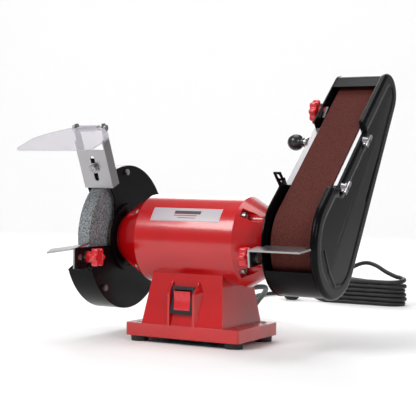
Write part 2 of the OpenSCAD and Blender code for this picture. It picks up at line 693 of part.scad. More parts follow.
module idler_pulley() color([0.7, 0.7, 0.72]) at_tip() ring_x(idler_r, idler_bearing_r, belt_x, belt_x + belt_w);
module idler_bearings() color(bright_steel) at_tip() {
    ring_x(idler_bearing_r, axle_r + 0.06, belt_x + 2, belt_x + 9);
    ring_x(idler_bearing_r, axle_r + 0.06, belt_x + belt_w - 9, belt_x + belt_w - 2);
}
module idler_axle() color(bright_steel) at_tip() {
    rod_x(axle_r, slide_x, belt_x + belt_w + 1);
    rod_x(6, slide_x + slide_t, slide_x + slide_t + 0.9);
}
module idler_slide() color(bright_steel) at_tip() difference() {
    union() {
        span([slide_x, -9, -70], [slide_x + slide_t, 9, 9]);
        span([slide_x, -26, -62], [slide_x + slide_t, 0, -44]);
        span([slide_x, -9, -73], [slide_x + 14, 9, -70 + eps]);
    }
    rod_x(axle_r, slide_x - 1, slide_x + 5);
    for (z = [-44, -20]) translate([0, 0, z]) rod_x(3, slide_x - 1, slide_x + 5);
    span([slide_x - 1, -3, -44], [slide_x + 5, 3, -20]);
}
module tension_spring() color(bright_steel) at_tip() translate([slide_x + 8.5, 0, -73.6])
    swept_tube([for (i = [0:72]) [4 * cos(i * 30), 4 * sin(i * 30), -i * 0.208]], 0.6, 6);
module lever_frame() arm() translate([0, lever_pivot[0], lever_pivot[1]]) children();
lever_reach = norm(ball_place - lever_pivot);
lever_turn = atan2(ball_place[0] - lever_pivot[0], -(ball_place[1] - lever_pivot[1]));
module tension_lever() color(bright_steel) lever_frame() rotate([lever_turn, 0, 0]) {
    rod_x(7, lever_x, lever_x + lever_t);
    rod_x(3.9, lever_x + lever_t - eps, slide_x - 0.4);
    span([lever_x, -4.5, -lever_reach], [lever_x + lever_t, 4.5, 0]);
    translate([0, 0, -lever_reach]) rod_x(4.5, lever_x, lever_x + lever_t);
    translate([0, 0, -lever_reach]) rod_x(2.5, lever_x - 6, lever_x + eps);
}
module lever_ball() color(rubber_black) lever_frame() rotate([lever_turn, 0, 0]) translate([0, 0, -lever_reach])
    difference() {
        union() {
            translate([ball_x, 0, 0]) rotate([0, 90, 0]) sphere(ball_r);
            rod_x(neck_r, ball_x, lever_x);
        }
        rod_x(2.5, lever_x - 6, lever_x + 1);
    }
module tracking_knob() color(knob_red) arm() translate([0, tracking_place[0], tracking_place[1]]) {
    rod_x(3, plate_x - 3, slide_x - 0.4);
    rod_x(6, plate_x - 5.5, plate_x - 0.4);
    along_x(plate_x - 15, plate_x - 5.5) star_2d(2 * tracking_r, 8);
}
module wing_nut(z) color(bright_steel) strand() translate([cover_x + 0.4, -stud_back, z]) difference() {
    union() {
        turned_x() polygon([[0, 0], [5.5, 0], [4, 6], [0, 6]]);
        hull() for (s = [-1, 1]) translate([7, 0, s * 8]) rod_x(2.6, -0.8, 0.8);
        hull() for (s = [-1, 1]) translate([3.4, 0, s * 5.5]) rod_x(2, -0.8, 0.8);
    }
    rod_x(2.56, -1, 20);
}
module upper_wing_nut() wing_nut(stud_high);
module lower_wing_nut() wing_nut(stud_low);
module shield_tab() color(black_steel) arm() difference() {
    union() {
        span([100.5, -59, 43.5], [plate_x, -40, 45.3]);
        span([100.5, -71, 43.5], [109.5, -58, 45.3]);
        span([102.7, -52, 30], [plate_x, -40, 45.3]);
    }
    for (y = [-67, -62]) translate([105, y, 40]) cylinder(r = 1.8, h = 10);
    span([103.2, -67, 40], [106.8, -62, 50]);
}
module arm_clamp_screw() color(bright_steel) on_axis() rotate([-60, 0, 0]) translate([hub_x + 3.2, 0, 0]) {
    translate([0, 0, arm_bore_r + 0.3]) cylinder(r = 2.4, h = 12);
    translate([0, 0, arm_bore_r + 11]) cylinder(d = 6, h = 4, $fn = 6);
}
module belt_rest_frame() translate([0, belt_rest_y, belt_rest_z]) rotate([belt_rest_turn, 0, 0]) children();
module belt_rest() color(bright_steel) belt_rest_frame() {
    difference() {
        span([plate_x - 0.2 - rest_t, -17, -8.5], [plate_x - 0.2, 15, 9]);
        for (y = [-6, 6]) translate([0, y, 0]) rod_x(3.1, 95, 110);
        span([95, -6, -3.1], [110, 6, 3.1]);
    }
    translate([plate_x - 0.2 - rest_t, 0, 9 - eps]) linear_extrude(rest_t)
        polygon([[0, -17], [61, -17], [64, 6], [57, 6], [57, 15], [7, 15], [7, 6], [0, 6]]);
}
module belt_rest_bolt() color(bright_steel) belt_rest_frame() {
    rod_x(2.5, plate_x - 14, plate_x + sheet_t + 1);
    rod_x(6, plate_x + sheet_t, plate_x + sheet_t + 2.5);
}
module belt_rest_knob() color(knob_red) belt_rest_frame() translate([plate_x - 0.3 - rest_t, 0, 0])
    mirror([1, 0, 0]) difference() {
        star_knob(knob_d, 6, 9, 16);
        rod_x(2.58, -1, 12);
    }

// ---- Mains lead ----
module cord_lead() color(rubber_black) swept_tube(lead_route, lead_r, 10);
module cord_tail() color(rubber_black) swept_tube(tail_route, lead_r, 10);
module cord_hank() color(rubber_black) translate([hank_mid[0], hank_mid[1], 0.2]) linear_extrude(hank_h)
    for (part = [0, 1]) if (part == 0) {
        square([hank_run, 2 * (hank_r + lead_r)], center = true);
    } else {
        for (s = [-1, 1]) translate([s * hank_run / 2, 0]) circle(hank_r + lead_r);
    }
module plug() color(rubber_black) translate(plug_at) {
    rod_x(5, -10, 0);
    rod_x(plug_r, -32, -10 + eps);
    for (s = [-1, 1]) translate([0, s * 9.5, 0]) rod_x(2.4, -51, -32 + eps);
}

base_casting();
bottom_cover();
rubber_feet();
bottom_screws();
switch_frame();
switch_rocker();
capacitor();
strain_relief();
motor_barrel();
left_end_bell();
right_end_bell();
through_bolts();
stator_core();
stator_windings();
bearing_outer_rings();
name_plate();
motor_shaft();
rotor();
bearing_inner_rings();
grinding_wheel();
wheel_flanges();
wheel_blotters();
spindle_nuts();
drive_pulley();
inner_guard();
outer_guard();
guard_bolts();
spark_arrester();
shield_bracket();
bracket_screw();
shield_rod();
eye_shield();
left_rest();
left_rest_bolt();
left_rest_knob();
arm_plate();
arm_cover();
rear_guard();
top_hood();
platen();
sanding_belt();
idler_pulley();
idler_bearings();
idler_axle();
idler_slide();
tension_spring();
tension_lever();
lever_ball();
tracking_knob();
upper_wing_nut();
lower_wing_nut();
shield_tab();
arm_clamp_screw();
belt_rest();
belt_rest_bolt();
belt_rest_knob();
cord_lead();
cord_hank();
cord_tail();
plug();
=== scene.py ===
# %% [markdown]
# # Belt grinder
# A combined bench grinder and belt sander, finished on the frame of its own CAD model.
# X runs along the motor shaft, -Y faces the operator and Z = 0 is the bench. All sizes are metres.

import math

import bpy
import numpy as np
from mathutils import Matrix, Vector
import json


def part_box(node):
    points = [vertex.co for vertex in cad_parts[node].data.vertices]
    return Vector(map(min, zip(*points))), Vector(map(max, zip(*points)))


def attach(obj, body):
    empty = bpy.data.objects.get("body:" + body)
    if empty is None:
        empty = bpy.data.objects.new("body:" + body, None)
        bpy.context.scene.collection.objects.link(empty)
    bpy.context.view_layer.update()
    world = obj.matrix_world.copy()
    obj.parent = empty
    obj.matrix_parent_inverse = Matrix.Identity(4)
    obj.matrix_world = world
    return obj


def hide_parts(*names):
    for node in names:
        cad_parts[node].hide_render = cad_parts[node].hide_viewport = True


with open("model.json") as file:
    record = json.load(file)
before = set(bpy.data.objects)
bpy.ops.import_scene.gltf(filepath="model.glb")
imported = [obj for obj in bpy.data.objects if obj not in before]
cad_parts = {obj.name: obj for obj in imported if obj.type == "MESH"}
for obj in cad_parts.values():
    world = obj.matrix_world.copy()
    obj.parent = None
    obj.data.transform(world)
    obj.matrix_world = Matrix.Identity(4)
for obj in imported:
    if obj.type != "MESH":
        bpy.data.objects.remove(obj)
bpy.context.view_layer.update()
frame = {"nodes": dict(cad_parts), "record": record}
mm = 0.001
axis_z = 0.119

# %% [markdown]
# ## Camera
# A long lens, low and to the right of the front, with a slight roll.

# %% Camera
azimuth, elevation, roll = math.radians(28.387), math.radians(1.373), math.radians(0.943)
target = Vector((0.005619, 0.0, 0.15679))
camera_distance = 1.37949
back = Vector((
    math.sin(azimuth) * math.cos(elevation),
    -math.cos(azimuth) * math.cos(elevation),
    math.sin(elevation),
))
level_right = (-back).cross(Vector((0, 0, 1))).normalized()
level_up = level_right.cross(-back).normalized()
right = level_right * math.cos(roll) + level_up * math.sin(roll)
up = level_up * math.cos(roll) - level_right * math.sin(roll)
camera = bpy.data.objects.new("camera", bpy.data.cameras.new("camera"))
camera.data.lens = 101.43
camera.data.sensor_width = 36.0
camera.matrix_world = Matrix((
    (right.x, up.x, back.x, 0), (right.y, up.y, back.y, 0), (right.z, up.z, back.z, 0), (0, 0, 0, 1)
))
camera.location = target + back * camera_distance
bpy.context.scene.collection.objects.link(camera)
bpy.context.scene.camera = camera
bpy.context.scene.view_settings.view_transform = "Standard"
print("camera at", [round(v, 4) for v in camera.location])

# %% [markdown]
# ## Mesh helpers
# Every new surface is a grid of points: rows along one direction, columns along the other.

# %% Helpers
def link(name, data):
    """Puts new data into the scene under one name."""
    piece = bpy.data.objects.new(name, data)
    bpy.context.scene.collection.objects.link(piece)
    return piece


def grid_piece(name, points, wrap_rows=False, wrap_columns=False, cap_ends=False):
    """A quad grid over points[row, column]; wrapping joins the last row or column to the first, and caps close the
    first and last rows with one face each."""
    rows, columns = points.shape[:2]
    index = np.arange(rows * columns).reshape(rows, columns)
    if wrap_rows:
        index = np.vstack([index, index[:1]])
    if wrap_columns:
        index = np.hstack([index, index[:, :1]])
    quads = np.stack([index[:-1, :-1], index[1:, :-1], index[1:, 1:], index[:-1, 1:]], -1).reshape(-1, 4).tolist()
    if cap_ends:
        first, last = index[0, :columns], index[rows - 1, :columns]
        quads += [first.tolist(), last[::-1].tolist()]
    mesh = bpy.data.meshes.new(name)
    mesh.from_pydata(points.reshape(-1, 3).tolist(), [], quads)
    mesh.polygons.foreach_set("use_smooth", np.ones(len(mesh.polygons), bool))
    mesh.validate()
    if cap_ends:
        # closed pieces whose enclosed volume comes out negative have their faces turned over
        corners = points.reshape(-1, 3)
        middle = corners.mean(0)
        fans = [(q[0], q[k], q[k + 1]) for q in quads for k in range(1, len(q) - 1)]
        a, b, c = (corners[[fan[k] for fan in fans]] - middle for k in range(3))
        if np.einsum("ij,ij->i", a, np.cross(b, c)).sum() < 0:
            mesh.flip_normals()
    return link(name, mesh)


def turned(name, profile, centre, columns=96, lobes=0, depth=0.0, turn=0.0):
    """A profile of (x, radius, lobe share) rows turned about a line along X through centre. The radius swells and
    shrinks with the cosine of lobes times the angle, by depth times the lobe share."""
    x, radius, share = np.array(profile, float).T
    angle = np.linspace(0, 2 * np.pi, columns, endpoint=False)
    wave = 1 - depth * share[:, None] * (0.5 - 0.5 * np.cos(lobes * (angle + turn))[None, :])
    reach = radius[:, None] * wave
    points = np.stack([
        np.repeat(x[:, None], columns, 1),
        centre[1] + reach * np.cos(angle),
        centre[2] + reach * np.sin(angle),
    ], -1)
    return grid_piece(name, points, wrap_columns=True, cap_ends=True)


def sharpen(piece, angle=0.6):
    """Shades smooth with hard edges where two faces meet at more than an angle."""
    piece.data.polygons.foreach_set("use_smooth", np.ones(len(piece.data.polygons), bool))
    piece.data.set_sharp_from_angle(angle=angle)


def soften(piece, width, segments=2):
    """A small round along every sharp edge."""
    bevel = piece.modifiers.new("edge round", "BEVEL")
    bevel.width = width
    bevel.segments = segments
    bevel.limit_method = "ANGLE"
    bevel.angle_limit = math.radians(38)
    bevel.harden_normals = True


# %% [markdown]
# ## Mains lead
# The lead leaves the strain relief, drops to the bench, runs back and turns along behind the machine. It climbs over
# its own hank, winds down through six turns and leaves the lowest one for the plug.

# %% Mains lead
lead_d = 6.6 * mm
route = np.array([
    (20, 82, 57), (20, 98, 57), (20, 114, 56.5), (18, 130, 55), (13, 146, 52), (5, 162, 47), (-6, 178, 40),
    (-20, 195, 31), (-34, 213, 22), (-48, 233, 14), (-62, 255, 8), (-75, 279, 5), (-88, 305, 4), (-101, 333, 4),
    (-115, 363, 4), (-129, 394, 4), (-143, 426, 4), (-156, 458, 4), (-166, 490, 4), (-168, 521, 4),
    (-160, 549, 4), (-143, 571, 4), (-118, 583, 5), (-92, 585, 13), (-68, 580, 28), (-46, 572, 44),
    (-25, 563, 56), (-5, 556, 61.5), (14, 550, 58), (32, 545, 49.5),
]) * mm
tail = np.array([
    (-46, 502, 3.6), (-54, 502, 3.9), (-62, 502, 5.2), (-70, 502, 8), (-79, 502, 11.8), (-88, 502, 14.1),
]) * mm
hank_right, hank_left, hank_y, hank_r, layer = 49 * mm, -44 * mm, 522 * mm, 20 * mm, 6.6 * mm
turn_angle = np.linspace(0.5 * np.pi, -0.5 * np.pi, 13)
hank_turns = 6
coil = []
for k in range(hank_turns):
    level = 3.5 * mm + layer * (hank_turns - 1 - k)
    drift = (0.0, 1.2, -1.0, 0.6, 1.4, -0.6)[k] * mm
    round_r = np.stack([hank_right + drift + hank_r * np.cos(turn_angle),
                        hank_y + hank_r * np.sin(turn_angle), np.full(13, level)], -1)
    if k == 0:
        round_r[:, 2] += 6.7 * mm * np.linspace(1, 0, 13) ** 1.6
    front_x = np.linspace(hank_right - 14 * mm, hank_left + 14 * mm, 6)
    front = np.stack([front_x, hank_y - hank_r + 0.8 * mm * np.sin(9 * np.arange(6) + k), np.full(6, level)], -1)
    round_l = np.stack([hank_left - drift - hank_r * np.cos(turn_angle),
                        hank_y - hank_r * np.sin(turn_angle), np.full(13, level)], -1)
    coil += [round_r, front]
    if k < hank_turns - 1:
        coil.append(round_l)
        back_x = np.linspace(hank_left + 14 * mm, hank_right - 14 * mm, 6)
        coil.append(np.stack([back_x, np.full(6, hank_y + hank_r), level - layer * np.linspace(0.12, 0.88, 6)], -1))
knots = np.vstack([route, *coil, tail])


def smooth_line(knots, steps):
    """A Catmull-Rom curve: between two knots the point follows the cubic that leaves each knot parallel to the
    line between its neighbours."""
    ends = np.vstack([2 * knots[0] - knots[1], knots, 2 * knots[-1] - knots[-2]])
    p0, p1, p2, p3 = ends[:-3], ends[1:-2], ends[2:-1], ends[3:]
    t = np.linspace(0, 1, steps, endpoint=False)[:, None, None]
    line = 0.5 * (2 * p1 + (p2 - p0) * t + (2 * p0 - 5 * p1 + 4 * p2 - p3) * t**2 + (3 * p1 - p0 - 3 * p2 + p3) * t**3)
    return np.vstack([line.transpose(1, 0, 2).reshape(-1, 3), knots[-1:]])


line = smooth_line(knots, 4)
curve = bpy.data.curves.new("mains_lead", "CURVE")
curve.dimensions = "3D"
curve.bevel_depth = 1.0
curve.bevel_resolution = 4
curve.use_fill_caps = True
spline = curve.splines.new("POLY")
spline.points.add(len(line) - 1)
spline.points.foreach_set("co", np.hstack([line, np.ones((len(line), 1))]).ravel())
# the tube is a bevel of one metre times each point's own radius, so the curve's bounds are the tube's
spline.points.foreach_set("radius", np.full(len(line), lead_d / 2))
spline.use_smooth = True
mains_lead = link("mains_lead", curve)
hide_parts("cord_lead", "cord_hank", "cord_tail")
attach(mains_lead, "stand")

# %% [markdown]
# ## Belt arm
# The arm has its own frame: `along` runs from the drive shaft to the idler and `front` towards the working face.

# %% Arm frame
tilt = math.radians(42)


def arm_points(along, front, x):
    """Places arm coordinates in the row frame: along leans back by the tilt and front stands square to it."""
    y = along * math.sin(tilt) - front * math.cos(tilt)
    z = axis_z + along * math.cos(tilt) + front * math.sin(tilt)
    return np.stack(np.broadcast_arrays(x, y, z), -1)


def segment_distance(along, front, a, b):
    """Distance from each point of the arm's plane to the segment from a to b."""
    a, b = np.array(a, float), np.array(b, float)
    d = b - a
    t = np.clip(((along - a[0]) * d[0] + (front - a[1]) * d[1]) / (d @ d), 0, 1)
    return np.hypot(along - a[0] - t * d[0], front - a[1] - t * d[1])


# %% Arm cover
def arm_cover():
    """The pressed cover. Rings run from the rim's edge inwards to the middle line of a tapered capsule; the height
    of each point is a rolled rim, plus a bead, a crease and a groove that are functions of distance."""
    r1, r2, length = 59.5, 25.0, 240.0
    wall_x, face_x = 163.0, 168.6
    cut_front, cut_foot, cut_slope, cut_top, cut_corner = 45, 30, 16, 150, 1.5
    roll_r, rim_w = 3.0, 12.5
    slot_drop, slot_r = 9, 2.5
    lean = math.asin((r1 - r2) / length)
    side = np.linspace(0, 1, 160)
    # the two straight sides join the two arcs at their tangent points
    nx, na = math.cos(lean), math.sin(lean)
    front_side = np.stack([r1 * na + side * (length + r2 * na - r1 * na), r1 * nx + side * (r2 * nx - r1 * nx)], -1)
    back_side = front_side[::-1] * (1, -1)
    tip_angle = np.linspace(np.pi / 2 - lean, -np.pi / 2 + lean, 65)[1:-1]
    tip = np.stack([length + r2 * np.cos(tip_angle), r2 * np.sin(tip_angle)], -1)
    heel_angle = np.linspace(-np.pi / 2 + lean, -3 * np.pi / 2 - lean, 129)[1:-1]
    heel = np.stack([r1 * np.cos(heel_angle), r1 * np.sin(heel_angle)], -1)
    outline = np.vstack([front_side, tip, back_side, heel])
    # beside the platen the front edge steps back behind the belt's working face
    ahead = outline[:, 1] * math.cos(belt_lean) + outline[:, 0] * math.sin(belt_lean)
    upward = outline[:, 0] * math.cos(belt_lean) - outline[:, 1] * math.sin(belt_lean)
    share = np.clip((upward - cut_foot) / cut_slope, 0, 1) * np.clip((cut_top - upward) / cut_corner, 0, 1)
    pull = share * np.maximum(ahead - cut_front, 0)
    outline = outline - pull[:, None] * (math.sin(belt_lean), math.cos(belt_lean))
    middle = np.stack([np.clip(outline[:, 0], 0, length), np.zeros(len(outline))], -1)
    reach = np.linalg.norm(outline - middle, axis=1)
    inward = (middle - outline) / reach[:, None]
    rows = [(outline, np.full(len(outline), wall_x))]
    for angle in np.linspace(0, np.pi / 2, 7):
        inset = roll_r * (1 - math.cos(angle))
        height = face_x - roll_r * (1 - math.sin(angle))
        rows.append((outline + inward * inset, np.full(len(outline), height)))
    for share in np.linspace(0, 1, 58)[1:]:
        inset = roll_r + share * (reach - roll_r)
        flat = outline + inward * inset[:, None]
        along, front = flat[:, 0], flat[:, 1]
        step = -0.7 / (1 + np.exp(-(inset - rim_w) / 0.7))
        bead = sum(
            np.exp(-(segment_distance(along, front, a, b) / 1.5) ** 2) for a, b in zip(bead_knots[:-1], bead_knots[1:])
        )
        crease = np.maximum(0, front + 2 + 0.0182 * (234 - along)) * -0.028
        groove = -0.9 * np.exp(-(segment_distance(along, front, (216, -19), (95, -31)) / 1.6) ** 2)
        inner = 1 / (1 + np.exp(-(inset - rim_w - 1) / 0.8))
        dip = step + inner * (np.minimum(bead, 1.0) + crease + groove)
        # round each stud the face stays level, with a slot running down from it
        for stud in stud_places:
            away = np.hypot(along - stud[0], front - stud[1])
            dip = dip * (1 - np.exp(-(away / 9.0) ** 4))
        for stud in stud_places:
            foot = (stud[0] - slot_drop * math.cos(belt_lean), stud[1] + slot_drop * math.sin(belt_lean))
            dip = dip - 2.4 / (1 + np.exp((segment_distance(along, front, stud, foot) - slot_r) / 0.35))
        rows.append((flat, face_x + dip))
    flat = np.stack([r[0] for r in rows])
    height = np.stack([r[1] for r in rows])
    return arm_points(flat[..., 0] * mm, flat[..., 1] * mm, height * mm)


# the belt's working strand leans from the arm's line by this angle; the studs are placed along that strand
belt_lean = math.radians(7.66)
stud_front = 41
stud_places = [
    (
        up * math.cos(belt_lean) + stud_front * math.sin(belt_lean),
        stud_front * math.cos(belt_lean) - up * math.sin(belt_lean),
    )
    for up in (51.3, 135.5)
]
bead_knots = [(-27, 21), (-36, -2), (-37, -26), (-22, -44), (2, -52), (30, -48)]
cover = grid_piece("belt_cover", arm_cover()[:, ::-1], wrap_columns=True)
cover_skin = cover.modifiers.new("sheet", "SOLIDIFY")
cover_skin.thickness = 1.6 * mm
cover_skin.offset = -1
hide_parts("arm_cover")
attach(cover, "arm")
print("belt cover", len(cover.data.polygons), "faces")

# %% [markdown]
# ## Knobs
# Star knobs with rounded lobes, turned about lines along X.

# %% Knobs
def knob_profile(base, tip, hub_r, head_r, head):
    """Rows of (x, radius, lobe share) from the hub's end to the head's dished end; base and tip are X values."""
    way = 1 if tip > base else -1
    head_x = tip - way * head
    soft = 2.2 * mm
    arc = np.linspace(0, np.pi / 2, 6)
    rows = [(base, hub_r * 0.9, 0), (base + way * 0.5 * mm, hub_r, 0), (head_x - way * 0.4 * mm, hub_r, 0),
            (head_x, hub_r * 1.15, 0.2)]
    rows += [(head_x + way * soft * (1 - math.cos(a)), head_r - soft + soft * math.sin(a), 1) for a in arc]
    rows += [(tip - way * soft * (1 - math.sin(a)), head_r - soft + soft * math.cos(a), 1) for a in arc]
    rows += [(tip - way * 0.2 * mm, head_r * 0.55, 0.3), (tip - way * 1.2 * mm, head_r * 0.45, 0),
             (tip - way * 1.2 * mm, head_r * 0.1, 0)]
    return rows


knob_jobs = [
    ("left_star_knob", "left_rest_knob", "left_knob", -1, 6, 0.26),
    ("belt_star_knob", "belt_rest_knob", "belt_knob", 1, 6, 0.26),
    ("tracking_star_knob", "tracking_knob", "tracking", 1, 8, 0.2),
]
knobs = []
for name, node, body, hub_side, lobes, depth in knob_jobs:
    low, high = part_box(node)
    head_r = (high.z - low.z) / 2 if node == "tracking_knob" else 11.4 * mm
    centre = (0, (low.y + high.y) / 2, (low.z + high.z) / 2)
    hub_x, head_x = (low.x, high.x) if hub_side < 0 else (high.x, low.x)
    profile = knob_profile(hub_x, head_x, 6.4 * mm, head_r, 9 * mm)
    knob = turned(name, profile, centre, columns=144, lobes=lobes, depth=depth)
    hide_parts(node)
    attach(knob, body)
    knobs.append(knob)
print("knobs", [k.name for k in knobs])

# %% [markdown]
# ## Name plate
# A thin curved plate on the barrel with plain printed bars, laid out in its own UV map.

# %% Name plate
plate_low, plate_high = math.radians(26), math.radians(46)
plate_angle = np.linspace(plate_low, plate_high, 25)
plate_x = np.linspace(-45, 45, 61) * mm
u, v = np.meshgrid(np.linspace(0, 1, 61), np.linspace(0, 1, 25))
plate_r = (52.35 + 0.45 * np.clip(np.minimum.reduce([u * 90, (1 - u) * 90, v * 18, (1 - v) * 18]) / 0.6, 0, 1)) * mm
name_plate = grid_piece("motor_label", np.stack([
    np.broadcast_to(plate_x, u.shape), -plate_r * np.cos(plate_angle)[:, None],
    axis_z + plate_r * np.sin(plate_angle)[:, None],
], -1)[::-1])
uv = name_plate.data.uv_layers.new(name="label").data
corner = np.empty(len(name_plate.data.loops), np.int32)
name_plate.data.loops.foreach_get("vertex_index", corner)
uv.foreach_set("uv", np.stack([u[::-1].ravel()[corner], v[::-1].ravel()[corner]], -1).ravel())
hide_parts("name_plate")
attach(name_plate, "stand")
print("label spans", round(float(plate_x[-1] - plate_x[0]), 4), "m")

# %% [markdown]
# ## Plug
# A round moulded body with a ribbed grip and two pins.

# %% Plug
low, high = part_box("plug")
plug_centre = (0, (low.y + high.y) / 2, (low.z + high.z) / 2)
grip = [(-88, 1.5, 0), (-88, 4.4, 0), (-89, 4.8, 0), (-96, 5, 0), (-98.5, 8, 0), (-100, 11.5, 0), (-102, 13.3, 0),
        (-105, 13.9, 0), (-108, 13.4, 0), (-111, 13.9, 0), (-114, 13.4, 0), (-117, 13.8, 0), (-119.2, 12.8, 0),
        (-120, 11.2, 0), (-120, 3, 0)]
plug = turned("moulded_plug", [(x * mm, r * mm, s) for x, r, s in grip], plug_centre, columns=64)
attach(plug, "stand")
pins = []
for side in (-1, 1):
    rows = [(-119.5, 2.3, 0), (-137, 2.3, 0), (-138.4, 1.9, 0), (-139, 1.0, 0)]
    pin = turned(f"plug_pin_{'left' if side < 0 else 'right'}", [(x * mm, r * mm, s) for x, r, s in rows],
                 (0, plug_centre[1] + side * 9.5 * mm, plug_centre[2]), columns=24)
    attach(pin, "stand")
    pins.append(pin)
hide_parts("plug")
print("plug and", len(pins), "pins")

# %% [markdown]
# ## Fastener details
# Cross recesses on the screws that face the operator.

# %% Screw heads
def screw_head(name, centre, normal, radius, height, body):
    """A pan head: a low dome of turned rings with a cross recess pressed into it by a function of both distances
    from the cross's arms."""
    rings, columns = 14, 64
    s = np.linspace(0, 1, rings)[:, None]
    angle = np.linspace(0, 2 * np.pi, columns, endpoint=False)[None, :]
    a, b = radius * s * np.cos(angle), radius * s * np.sin(angle)
    dome = height * np.sqrt(np.clip(1 - (0.92 * s) ** 4, 0, 1)) * np.ones_like(a)
    arm_a = np.exp(-(np.abs(a) / (0.13 * radius)) ** 4 - (np.abs(b) / (0.62 * radius)) ** 6)
    arm_b = np.exp(-(np.abs(b) / (0.13 * radius)) ** 4 - (np.abs(a) / (0.62 * radius)) ** 6)
    rise = dome - 0.62 * height * np.maximum(arm_a, arm_b)
    rim = np.zeros_like(rise[:1])
    local = np.stack([np.vstack([a, a[-1:]]), np.vstack([b, b[-1:]]), np.vstack([rise, rim])], -1)[1:]
    normal = Vector(normal).normalized()
    turn = np.array(normal.to_track_quat("Z", "Y").to_matrix())
    piece = grid_piece(name, local @ turn.T + np.array(centre), wrap_columns=True, cap_ends=True)
    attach(piece, body)
    return piece


bolt_circle = 43 * mm
heads = []
for side in (-1, 1):
    for k in range(4):
        a = math.radians(45 + 90 * k)
        centre = (side * 71.05 * mm, -bolt_circle * math.sin(a), axis_z + bolt_circle * math.cos(a))
        heads.append(screw_head(f"motor_screw_{'left' if side < 0 else 'right'}_{k}", centre, (side, 0, 0),
                                4.7 * mm, 1.5 * mm, "stand"))
for k, degrees in enumerate((84, 200, 312)):
    a = math.radians(degrees)
    centre = (-140.0 * mm, -79 * mm * math.cos(a), axis_z + 79 * mm * math.sin(a))
    heads.append(screw_head(f"guard_screw_{k}", centre, (-1, 0, 0), 4.2 * mm, 1.4 * mm, "stand"))
bracket_lean = math.radians(24.3)
bracket_up = Vector((0, -math.sin(bracket_lean), math.cos(bracket_lean)))
bracket_back = Vector((0, math.cos(bracket_lean), math.sin(bracket_lean)))
bracket_foot = Vector((0, -48 * mm, 178.4 * mm))
screw_at = bracket_foot + bracket_up * 26 * mm - bracket_back * 4.55 * mm + Vector((-115.75 * mm, 0, 0))
heads.append(screw_head("bracket_screw_head", screw_at, -bracket_back, 4.8 * mm, 1.6 * mm, "stand"))
print("screw heads", len(heads))

# %% [markdown]
# ## Materials
# Each make-up of material has one function. Every graph is built from Object coordinates.

# %% Material tools
def start_material(name):
    """A new material with its shader and output, and the object's own coordinates."""
    material = bpy.data.materials.new(name)
    material.use_nodes = True
    nodes, links = material.node_tree.nodes, material.node_tree.links
    nodes.clear()
    output = nodes.new("ShaderNodeOutputMaterial")
    output.label, output.location = "output", (900, 0)
    shader = nodes.new("ShaderNodeBsdfPrincipled")
    shader.label, shader.location = "surface", (600, 0)
    links.new(shader.outputs["BSDF"], output.inputs["Surface"])
    place = nodes.new("ShaderNodeTexCoord")
    place.label, place.location = "object coordinates", (-900, 0)
    return material, nodes, links, shader, place


def painted(name, colour, dark, rough, coat, grain_scale, grain_strength, wear, shine):
    """Sprayed paint: a slow shift of colour, orange-peel bump, uneven gloss and dusty patches."""
    material, nodes, links, shader, place = start_material(name)
    tone_frame = nodes.new("NodeFrame")
    tone_frame.label = "colour shift"
    drift = nodes.new("ShaderNodeTexNoise")
    drift.label, drift.location, drift.parent = "slow drift", (-600, 200), tone_frame
    drift.inputs["Scale"].default_value = 14.0
    drift.inputs["Detail"].default_value = 4.0
    tone = nodes.new("ShaderNodeValToRGB")
    tone.label, tone.location, tone.parent = "paint tone", (-350, 200), tone_frame
    tone.color_ramp.elements[0].position = 0.35
    tone.color_ramp.elements[0].color = (*dark, 1)
    tone.color_ramp.elements[1].position = 0.65
    tone.color_ramp.elements[1].color = (*colour, 1)
    links.new(place.outputs["Object"], drift.inputs["Vector"])
    links.new(drift.outputs["Fac"], tone.inputs["Fac"])
    links.new(tone.outputs["Color"], shader.inputs["Base Color"])
    gloss_frame = nodes.new("NodeFrame")
    gloss_frame.label = "gloss and dust"
    dust = nodes.new("ShaderNodeTexNoise")
    dust.label, dust.location, dust.parent = "dust patches", (-600, -50), gloss_frame
    dust.inputs["Scale"].default_value = 45.0
    dust.inputs["Detail"].default_value = 6.0
    gloss = nodes.new("ShaderNodeMapRange")
    gloss.label, gloss.location, gloss.parent = "roughness", (-350, -50), gloss_frame
    gloss.inputs["To Min"].default_value = rough - wear
    gloss.inputs["To Max"].default_value = rough + wear
    links.new(place.outputs["Object"], dust.inputs["Vector"])
    links.new(dust.outputs["Fac"], gloss.inputs["Value"])
    links.new(gloss.outputs["Result"], shader.inputs["Roughness"])
    peel_frame = nodes.new("NodeFrame")
    peel_frame.label = "orange peel"
    peel = nodes.new("ShaderNodeTexNoise")
    peel.label, peel.location, peel.parent = "peel grain", (-600, -350), peel_frame
    peel.inputs["Scale"].default_value = grain_scale
    peel.inputs["Detail"].default_value = 2.0
    bump = nodes.new("ShaderNodeBump")
    bump.label, bump.location, bump.parent = "peel bump", (-350, -350), peel_frame
    bump.inputs["Strength"].default_value = grain_strength
    bump.inputs["Distance"].default_value = 0.0004
    links.new(place.outputs["Object"], peel.inputs["Vector"])
    links.new(peel.outputs["Fac"], bump.inputs["Height"])
    links.new(bump.outputs["Normal"], shader.inputs["Normal"])
    shader.inputs["Coat Weight"].default_value = coat
    shader.inputs["Coat Roughness"].default_value = 0.12
    shader.inputs["Specular IOR Level"].default_value = shine
    return material


